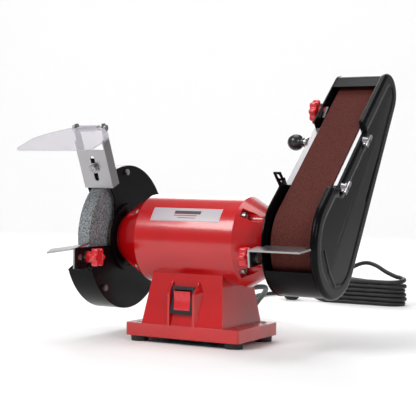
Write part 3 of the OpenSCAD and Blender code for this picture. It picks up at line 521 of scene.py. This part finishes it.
def bare_metal(name, colour, rough, stretch, scratch_strength):
    """Bare metal: fine lines stretched along one axis, uneven roughness and a faint stain."""
    material, nodes, links, shader, place = start_material(name)
    line_frame = nodes.new("NodeFrame")
    line_frame.label = "finishing lines"
    lay = nodes.new("ShaderNodeMapping")
    lay.label, lay.location, lay.parent = "stretch", (-700, 150), line_frame
    lay.inputs["Scale"].default_value = stretch
    lines = nodes.new("ShaderNodeTexNoise")
    lines.label, lines.location, lines.parent = "lines", (-500, 150), line_frame
    lines.inputs["Scale"].default_value = 60.0
    lines.inputs["Detail"].default_value = 5.0
    level = nodes.new("ShaderNodeMapRange")
    level.label, level.location, level.parent = "roughness", (-250, 150), line_frame
    level.inputs["To Min"].default_value = rough - 0.08
    level.inputs["To Max"].default_value = rough + 0.1
    bump = nodes.new("ShaderNodeBump")
    bump.label, bump.location, bump.parent = "scratches", (-250, -100), line_frame
    bump.inputs["Strength"].default_value = scratch_strength
    bump.inputs["Distance"].default_value = 0.0002
    links.new(place.outputs["Object"], lay.inputs["Vector"])
    links.new(lay.outputs["Vector"], lines.inputs["Vector"])
    links.new(lines.outputs["Fac"], level.inputs["Value"])
    links.new(level.outputs["Result"], shader.inputs["Roughness"])
    links.new(lines.outputs["Fac"], bump.inputs["Height"])
    links.new(bump.outputs["Normal"], shader.inputs["Normal"])
    stain_frame = nodes.new("NodeFrame")
    stain_frame.label = "stain"
    stain = nodes.new("ShaderNodeTexNoise")
    stain.label, stain.location, stain.parent = "stain patches", (-500, -350), stain_frame
    stain.inputs["Scale"].default_value = 25.0
    tone = nodes.new("ShaderNodeValToRGB")
    tone.label, tone.location, tone.parent = "metal tone", (-250, -350), stain_frame
    tone.color_ramp.elements[0].color = (*(0.82 * c for c in colour), 1)
    tone.color_ramp.elements[1].color = (*colour, 1)
    links.new(place.outputs["Object"], stain.inputs["Vector"])
    links.new(stain.outputs["Fac"], tone.inputs["Fac"])
    links.new(tone.outputs["Color"], shader.inputs["Base Color"])
    shader.inputs["Metallic"].default_value = 1.0
    return material


def moulded(name, colour, rough, coat, grain_scale, grain_strength):
    """Moulded rubber or plastic: almost even colour, a fine skin texture and handling marks in the gloss."""
    material, nodes, links, shader, place = start_material(name)
    skin_frame = nodes.new("NodeFrame")
    skin_frame.label = "moulded skin"
    skin = nodes.new("ShaderNodeTexNoise")
    skin.label, skin.location, skin.parent = "skin grain", (-600, -200), skin_frame
    skin.inputs["Scale"].default_value = grain_scale
    bump = nodes.new("ShaderNodeBump")
    bump.label, bump.location, bump.parent = "skin bump", (-300, -200), skin_frame
    bump.inputs["Strength"].default_value = grain_strength
    bump.inputs["Distance"].default_value = 0.0003
    links.new(place.outputs["Object"], skin.inputs["Vector"])
    links.new(skin.outputs["Fac"], bump.inputs["Height"])
    links.new(bump.outputs["Normal"], shader.inputs["Normal"])
    mark_frame = nodes.new("NodeFrame")
    mark_frame.label = "handling marks"
    marks = nodes.new("ShaderNodeTexNoise")
    marks.label, marks.location, marks.parent = "marks", (-600, 150), mark_frame
    marks.inputs["Scale"].default_value = 60.0
    marks.inputs["Detail"].default_value = 4.0
    level = nodes.new("ShaderNodeMapRange")
    level.label, level.location, level.parent = "roughness", (-300, 50), mark_frame
    level.inputs["To Min"].default_value = rough - 0.07
    level.inputs["To Max"].default_value = rough + 0.07
    tone = nodes.new("ShaderNodeValToRGB")
    tone.label, tone.location, tone.parent = "tone", (-300, 300), mark_frame
    tone.color_ramp.elements[0].color = (*(0.85 * c for c in colour), 1)
    tone.color_ramp.elements[1].color = (*colour, 1)
    links.new(place.outputs["Object"], marks.inputs["Vector"])
    links.new(marks.outputs["Fac"], level.inputs["Value"])
    links.new(level.outputs["Result"], shader.inputs["Roughness"])
    links.new(marks.outputs["Fac"], tone.inputs["Fac"])
    links.new(tone.outputs["Color"], shader.inputs["Base Color"])
    shader.inputs["Coat Weight"].default_value = coat
    return material


def gritty(name, light, dark, cell_scale, depth, rough):
    """Bonded or glued grit: packed cells of two tones over a coarse bump."""
    material, nodes, links, shader, place = start_material(name)
    grit_frame = nodes.new("NodeFrame")
    grit_frame.label = "grit"
    cells = nodes.new("ShaderNodeTexVoronoi")
    cells.label, cells.location, cells.parent = "grains", (-600, 100), grit_frame
    cells.inputs["Scale"].default_value = cell_scale
    speck = nodes.new("ShaderNodeTexNoise")
    speck.label, speck.location, speck.parent = "specks", (-600, -200), grit_frame
    speck.inputs["Scale"].default_value = cell_scale * 0.6
    speck.inputs["Detail"].default_value = 6.0
    tone = nodes.new("ShaderNodeValToRGB")
    tone.label, tone.location, tone.parent = "grain tone", (-300, 0), grit_frame
    tone.color_ramp.elements[0].position = 0.38
    tone.color_ramp.elements[0].color = (*dark, 1)
    tone.color_ramp.elements[1].position = 0.62
    tone.color_ramp.elements[1].color = (*light, 1)
    bump = nodes.new("ShaderNodeBump")
    bump.label, bump.location, bump.parent = "grain bump", (-300, -300), grit_frame
    bump.inputs["Strength"].default_value = depth
    bump.inputs["Distance"].default_value = 0.0005
    links.new(place.outputs["Object"], cells.inputs["Vector"])
    links.new(place.outputs["Object"], speck.inputs["Vector"])
    links.new(speck.outputs["Fac"], tone.inputs["Fac"])
    links.new(tone.outputs["Color"], shader.inputs["Base Color"])
    links.new(cells.outputs["Distance"], bump.inputs["Height"])
    links.new(bump.outputs["Normal"], shader.inputs["Normal"])
    shader.inputs["Roughness"].default_value = rough
    shader.inputs["Specular IOR Level"].default_value = 0.12
    return material


def clear_sheet(name, tint, haze):
    """Clear plastic sheet: thin see-through tint with faint scratches in the gloss."""
    material, nodes, links, shader, place = start_material(name)
    marks = nodes.new("ShaderNodeTexNoise")
    marks.label, marks.location = "fine scratches", (-600, 0)
    marks.inputs["Scale"].default_value = 180.0
    level = nodes.new("ShaderNodeMapRange")
    level.label, level.location = "roughness", (-300, 0)
    level.inputs["To Min"].default_value = 0.04
    level.inputs["To Max"].default_value = haze
    links.new(place.outputs["Object"], marks.inputs["Vector"])
    links.new(marks.outputs["Fac"], level.inputs["Value"])
    links.new(level.outputs["Result"], shader.inputs["Roughness"])
    shader.inputs["Base Color"].default_value = (*tint, 1)
    shader.inputs["Alpha"].default_value = 0.42
    shader.inputs["Specular IOR Level"].default_value = 0.6
    return material


def printed_label(name):
    """Printed film in its own UV map: a pale field with a thin frame, a dark bar, a thin red bar and a small grey
    bar."""
    material, nodes, links, shader, place = start_material(name)
    uv_map = nodes.new("ShaderNodeUVMap")
    uv_map.label, uv_map.location = "label UV", (-1500, 0)
    uv_map.uv_map = "label"
    parts = nodes.new("ShaderNodeSeparateXYZ")
    parts.label, parts.location = "across and up", (-1300, 0)
    links.new(uv_map.outputs["UV"], parts.inputs["Vector"])
    colour = None
    boxes = [
        (0.5, 0.5, 0.485, 0.455, (0.42, 0.38, 0.41)),
        (0.5, 0.5, 0.478, 0.425, (0.50, 0.46, 0.49)),
        (0.52, 0.64, 0.19, 0.125, (0.075, 0.07, 0.075)),
        (0.50, 0.41, 0.17, 0.035, (0.62, 0.01, 0.03)),
        (0.52, 0.24, 0.13, 0.035, (0.20, 0.19, 0.20)),
    ]
    for row, (cu, cv, hu, hv, ink) in enumerate(boxes):
        group = nodes.new("NodeFrame")
        group.label = f"bar {row}"
        near_u = nodes.new("ShaderNodeMath")
        near_u.operation, near_u.label, near_u.location = "COMPARE", "within the width", (-1050, -220 * row)
        near_v = nodes.new("ShaderNodeMath")
        near_v.operation, near_v.label, near_v.location = "COMPARE", "within the height", (-1050, -220 * row - 100)
        both = nodes.new("ShaderNodeMath")
        both.operation, both.label, both.location = "MULTIPLY", "inside the bar", (-850, -220 * row)
        mix = nodes.new("ShaderNodeMix")
        mix.data_type, mix.label, mix.location = "RGBA", "ink", (-650, -220 * row)
        for node in (near_u, near_v, both, mix):
            node.parent = group
        near_u.inputs[1].default_value, near_u.inputs[2].default_value = cu, hu
        near_v.inputs[1].default_value, near_v.inputs[2].default_value = cv, hv
        links.new(parts.outputs["X"], near_u.inputs[0])
        links.new(parts.outputs["Y"], near_v.inputs[0])
        links.new(near_u.outputs["Value"], both.inputs[0])
        links.new(near_v.outputs["Value"], both.inputs[1])
        links.new(both.outputs["Value"], mix.inputs["Factor"])
        if colour is None:
            mix.inputs["A"].default_value = (0.55, 0.51, 0.54, 1)
        else:
            links.new(colour, mix.inputs["A"])
        mix.inputs["B"].default_value = (*ink, 1)
        colour = mix.outputs["Result"]
    links.new(colour, shader.inputs["Base Color"])
    film = nodes.new("ShaderNodeTexNoise")
    film.label, film.location = "film unevenness", (-300, -300)
    film.inputs["Scale"].default_value = 120.0
    bump = nodes.new("ShaderNodeBump")
    bump.label, bump.location = "film bump", (0, -300)
    bump.inputs["Strength"].default_value = 0.15
    bump.inputs["Distance"].default_value = 0.0002
    links.new(place.outputs["Object"], film.inputs["Vector"])
    links.new(film.outputs["Fac"], bump.inputs["Height"])
    links.new(bump.outputs["Normal"], shader.inputs["Normal"])
    shader.inputs["Roughness"].default_value = 0.32
    return material


# %% Materials
looks = {
    "red_paint": painted("red_paint", (0.56, 0.002, 0.005), (0.46, 0.002, 0.004), 0.24, 0.6, 420, 0.12, 0.05, 0.5),
    "black_paint": painted("black_paint", (0.004, 0.004, 0.005), (0.002, 0.002, 0.003), 0.24, 0.0, 900, 0.2, 0.05, 0.1),
    "bright_steel": bare_metal("bright_steel", (0.42, 0.41, 0.42), 0.3, (6, 1, 1), 0.12),
    "aluminium": bare_metal("aluminium", (0.36, 0.36, 0.37), 0.36, (8, 1, 1), 0.15),
    "black_rubber": moulded("black_rubber", (0.008, 0.008, 0.009), 0.5, 0.0, 700, 0.25),
    "black_plastic": moulded("black_plastic", (0.012, 0.012, 0.015), 0.3, 0.2, 900, 0.15),
    "red_plastic": moulded("red_plastic", (0.66, 0.012, 0.02), 0.28, 0.4, 500, 0.1),
    "clear_plastic": clear_sheet("clear_plastic", (0.50, 0.46, 0.53), 0.16),
    "label_film": printed_label("label_film"),
    "motor_iron": bare_metal("motor_iron", (0.32, 0.32, 0.34), 0.5, (1, 1, 1), 0.2),
    "copper_winding": bare_metal("copper_winding", (0.60, 0.26, 0.10), 0.4, (1, 6, 6), 0.3),
    "grinding_grit": gritty("grinding_grit", (0.36, 0.38, 0.39), (0.10, 0.11, 0.12), 1000, 0.8, 0.85),
    "card": moulded("card", (0.42, 0.34, 0.2), 0.8, 0.0, 500, 0.3),
    "abrasive_cloth": gritty("abrasive_cloth", (0.115, 0.030, 0.024), (0.065, 0.016, 0.013), 1300, 0.5, 0.75),
}
slot_of = {row["node"]: row["material_slot"] for row in frame["record"]["subparts"]}
for node, piece in frame["nodes"].items():
    piece.data.materials.clear()
    piece.data.materials.append(looks[slot_of[node]])
    sharpen(piece)
made = {
    "black_rubber": [mains_lead, plug], "black_paint": [cover], "red_plastic": knobs,
    "label_film": [name_plate], "bright_steel": [*pins, *heads],
}
for look, pieces in made.items():
    for piece in pieces:
        piece.data.materials.append(looks[look])
for piece in (cover, plug, name_plate, *knobs, *pins, *heads):
    sharpen(piece, 0.75)
edge_rounds = {
    "base_casting": 1.2, "switch_frame": 0.6, "switch_rocker": 0.5, "left_end_bell": 0.9, "right_end_bell": 0.9,
    "inner_guard": 0.3, "outer_guard": 0.35, "shield_bracket": 0.25, "left_rest": 0.3, "belt_rest": 0.3,
    "grinding_wheel": 0.8, "upper_wing_nut": 0.5, "lower_wing_nut": 0.5, "spindle_nuts": 0.4,
    "arm_plate": 0.3, "top_hood": 0.3, "rear_guard": 0.3, "shield_tab": 0.2, "eye_shield": 0.3, "platen": 0.3,
}
for node, width in edge_rounds.items():
    soften(frame["nodes"][node], width * mm)
print("materials", len(looks), "on", len(frame["nodes"]), "nodes")

# %% [markdown]
# ## Stage and light
# A pale floor that curves up far behind, large soft lights, and two lamps that whiten the backdrop.

# %% Stage
run = np.concatenate([np.linspace(-4, 2.5, 9), 2.5 + 1.5 * np.sin(np.linspace(0.1, np.pi / 2, 14)), np.full(6, 4.0)])
rise = np.concatenate([np.zeros(9), 1.5 - 1.5 * np.cos(np.linspace(0.1, np.pi / 2, 14)), np.linspace(1.8, 4, 6)])
side = np.linspace(-5, 5, 9)
turn = math.radians(28.387)
floor_points = np.stack([
    side[None, :] * math.cos(turn) - run[:, None] * math.sin(turn),
    side[None, :] * math.sin(turn) + run[:, None] * math.cos(turn),
    np.repeat(rise[:, None], 9, 1),
], -1)
floor = grid_piece("floor", floor_points[:, ::-1])
floor_look = bpy.data.materials.new("floor")
floor_look.use_nodes = True
floor_look.node_tree.nodes["Principled BSDF"].inputs["Base Color"].default_value = (0.93, 0.93, 0.93, 1)
floor_look.node_tree.nodes["Principled BSDF"].inputs["Roughness"].default_value = 0.8
floor.data.materials.append(floor_look)
for name, place, size, power in (
    ("key_light", (-0.7, -1.5, 1.5), 1.0, 24.0),
    ("side_light", (1.6, -0.9, 0.9), 0.6, 7.0),
    ("top_light", (0.0, 0.3, 1.9), 1.4, 15.0),
    ("back_light", (-0.9, 1.7, 1.2), 1.2, 14.0),
):
    lamp = bpy.data.lights.new(name, "AREA")
    lamp.shape, lamp.size, lamp.energy = "DISK", size, power
    lamp_piece = link(name, lamp)
    lamp_piece.location = place
    lamp_piece.rotation_euler = (Vector((0, 0.05, 0.13)) - Vector(place)).to_track_quat("-Z", "Y").to_euler()
# two lamps behind the object face away from it and whiten the backdrop
for name, across in (("backdrop_left", -1.3), ("backdrop_right", 1.3)):
    lamp = bpy.data.lights.new(name, "AREA")
    lamp.shape, lamp.size, lamp.energy = "DISK", 1.6, 26.0
    lamp_piece = link(name, lamp)
    place, goal = (
        Vector((
            across * math.cos(turn) - depth * math.sin(turn), across * math.sin(turn) + depth * math.cos(turn), height
        ))
        for depth, height in ((1.6, 1.9), (4, 0.8))
    )
    lamp_piece.location = place
    lamp_piece.rotation_euler = (goal - place).to_track_quat("-Z", "Y").to_euler()
world = bpy.data.worlds.new("studio")
world.use_nodes = True
world.node_tree.nodes["Background"].inputs["Color"].default_value = (1, 1, 1, 1)
world.node_tree.nodes["Background"].inputs["Strength"].default_value = 0.32
bpy.context.scene.world = world
